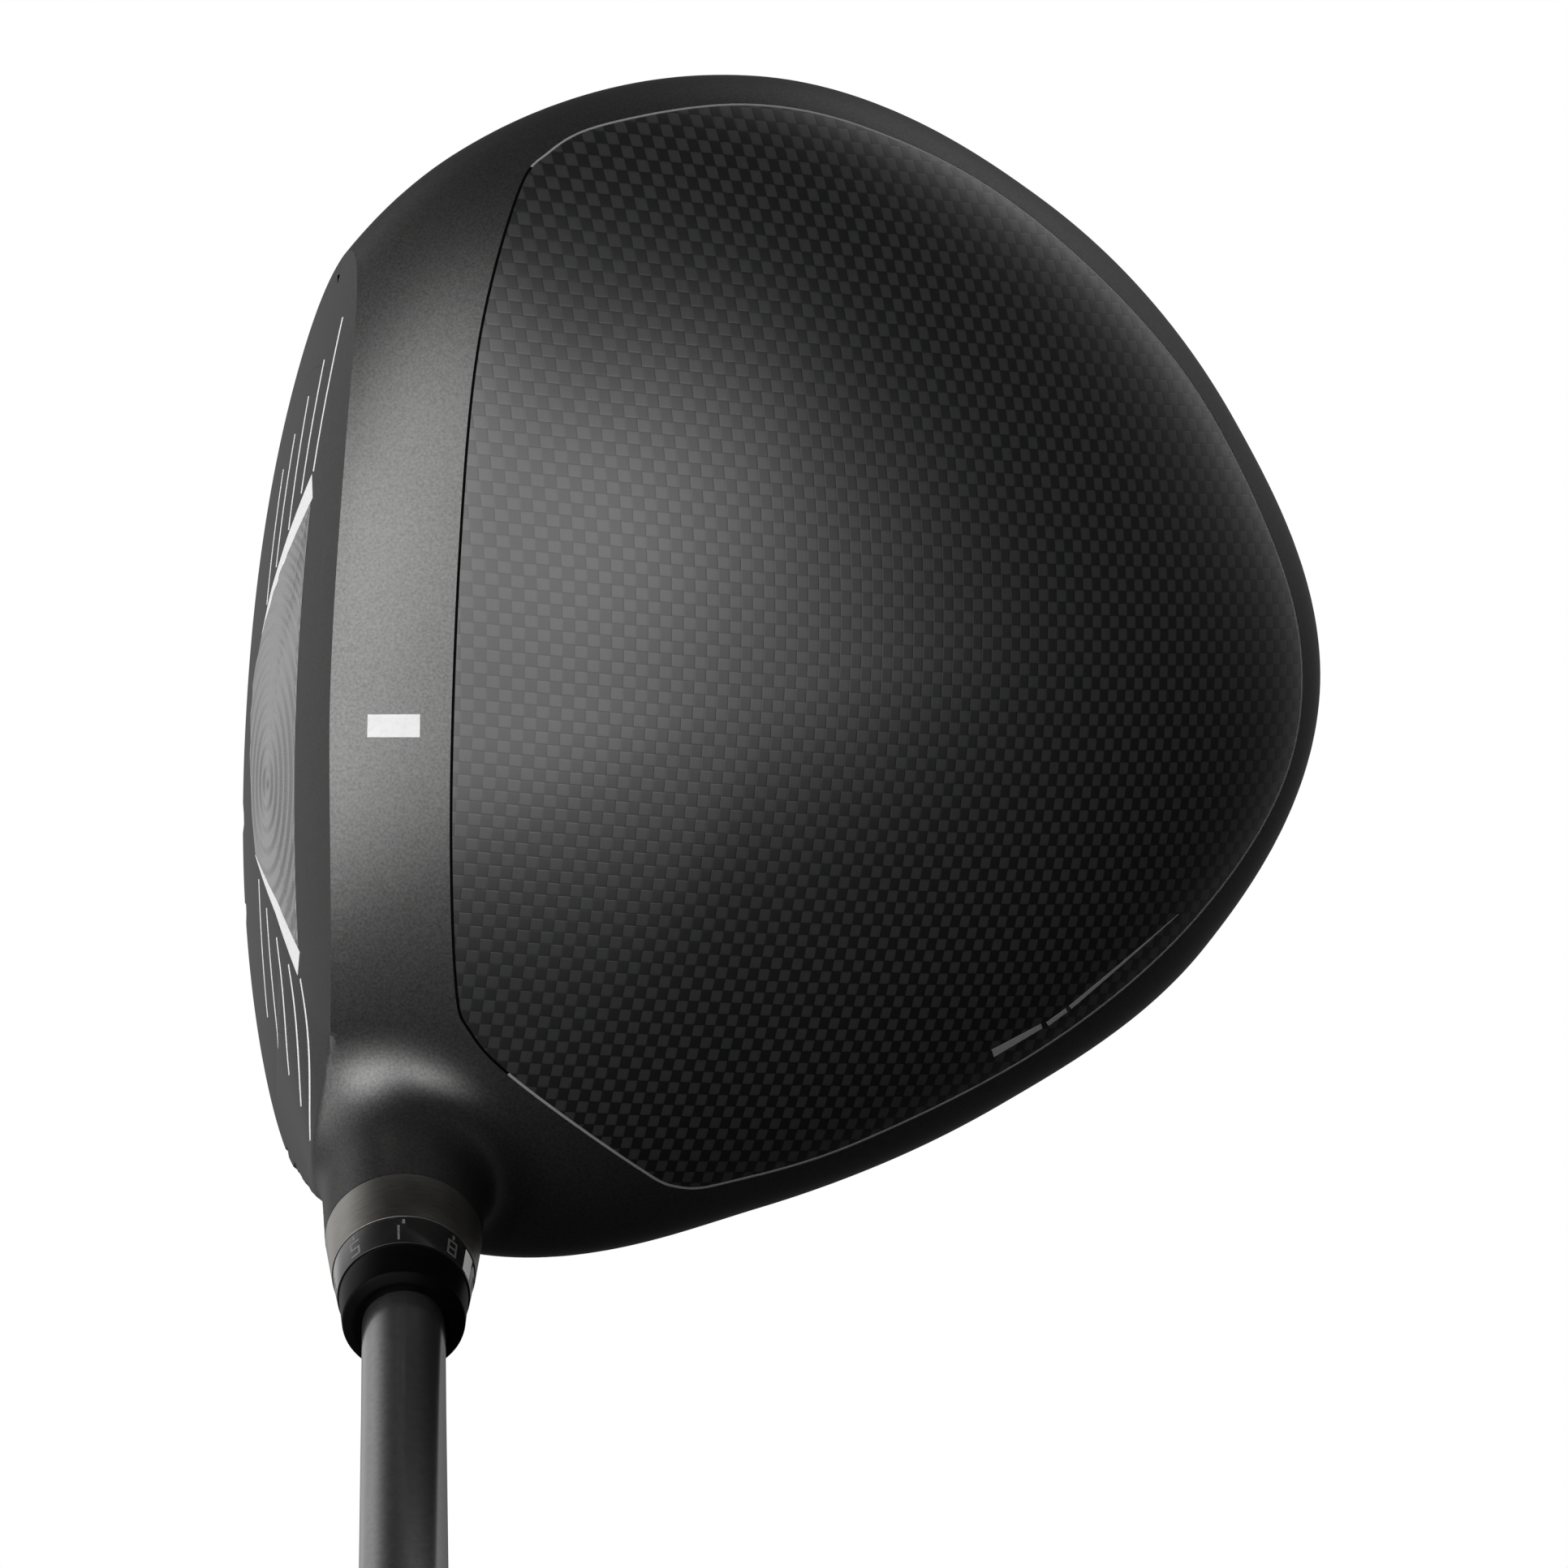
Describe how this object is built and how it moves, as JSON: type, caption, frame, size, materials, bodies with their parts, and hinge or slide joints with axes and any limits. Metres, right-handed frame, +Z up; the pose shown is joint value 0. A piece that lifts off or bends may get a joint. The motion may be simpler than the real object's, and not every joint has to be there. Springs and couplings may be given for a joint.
{
  "type": "golf driver",
  "caption": "Adjustable golf driver: hollow titanium head with bonded carbon crown and sole panels, screw-in weights, indexed hosel sleeve, graphite shaft and rubber grip.",
  "frame": {"origin": "on the ground, under the small flat that the sole rests on, with the club at address", "axes": "+X from the face to the back of the head, +Y from heel to toe, +Z up; the shaft leans back towards -Y"},
  "size_m": [0.1177, 0.684, 0.9989],
  "materials": {
    "painted_titanium": "satin dark graphite paint on titanium",
    "face_titanium": "fine blasted titanium",
    "carbon": "satin clear coat over plain-weave carbon",
    "steel": "machined steel",
    "brushed": "turned and brushed",
    "black_anodised": "black anodised, white setting marks",
    "ferrule": "polished black",
    "graphite": "satin black coating over graphite",
    "rubber": "moulded, matt",
    "tape": "double-sided tape"
  },
  "bodies": {
    "shaft_assembly": {"sleeve": "black_anodised", "ferrule": "ferrule", "shaft": "graphite", "tip_plug": "rubber", "grip_tape": "tape", "grip": "rubber", "grip_cap": "rubber"},
    "index_ring": {"hosel_ring": "brushed"},
    "head": {"head_body": "painted_titanium", "face_insert": "face_titanium", "crown_panel": "carbon", "sole_panel_toe": "carbon", "sole_panel_heel": "carbon", "hosel_bush": "steel", "screw_retainer": "steel"},
    "screw_slide": {"screw_washer": "steel"},
    "screw": {"sleeve_screw": "steel"},
    "rear_seal": {"rear_weight_o_ring": "rubber"},
    "rear_weight": {"rear_weight": "steel"},
    "front_seal": {"front_weight_o_ring": "rubber"},
    "front_weight": {"front_weight": "steel"}
  },
  "joints": [
    {"name": "sleeve_turn", "type": "hinge", "parent": "shaft_assembly", "child": "index_ring", "pos_m": [-0.0147, -0.0571, 0.065], "axis": [0, -0.5225, 0.8526], "continuous": true},
    {"name": "sleeve_lift", "type": "slide", "parent": "index_ring", "child": "head", "axis": [0, 0.5225, -0.8526], "range_m": [0, 0.045]},
    {"name": "sleeve_screw_travel", "type": "slide", "parent": "head", "child": "screw_slide", "axis": [0, 0.5225, -0.8526], "range_m": [0, 0.01]},
    {"name": "sleeve_screw_turn", "type": "hinge", "parent": "screw_slide", "child": "screw", "pos_m": [-0.0147, -0.0571, 0.065], "axis": [0, 0.5225, -0.8526], "range_deg": [0, 4520]},
    {"name": "rear_weight_travel", "type": "slide", "parent": "head", "child": "rear_seal", "axis": [0.355, 0, -0.9349], "range_m": [0, 0.007]},
    {"name": "rear_weight_turn", "type": "hinge", "parent": "rear_seal", "child": "rear_weight", "pos_m": [0.063, 0.002, 0.00682], "axis": [0.355, 0, -0.9349], "range_deg": [0, 2540]},
    {"name": "front_weight_travel", "type": "slide", "parent": "head", "child": "front_seal", "axis": [-0.2065, 0, -0.9784], "range_m": [0, 0.006]},
    {"name": "front_weight_turn", "type": "hinge", "parent": "front_seal", "child": "front_weight", "pos_m": [-0.0085, 0.011, 0.00131], "axis": [-0.2065, 0, -0.9784], "range_deg": [0, 2180]}
  ],
  "couplings": [
    {"joint": "sleeve_screw_turn", "follows": "sleeve_screw_travel", "rad_per_m": 7854},
    {"joint": "rear_weight_turn", "follows": "rear_weight_travel", "rad_per_m": 6283.2},
    {"joint": "front_weight_turn", "follows": "front_weight_travel", "rad_per_m": 6283.2}
  ]
}
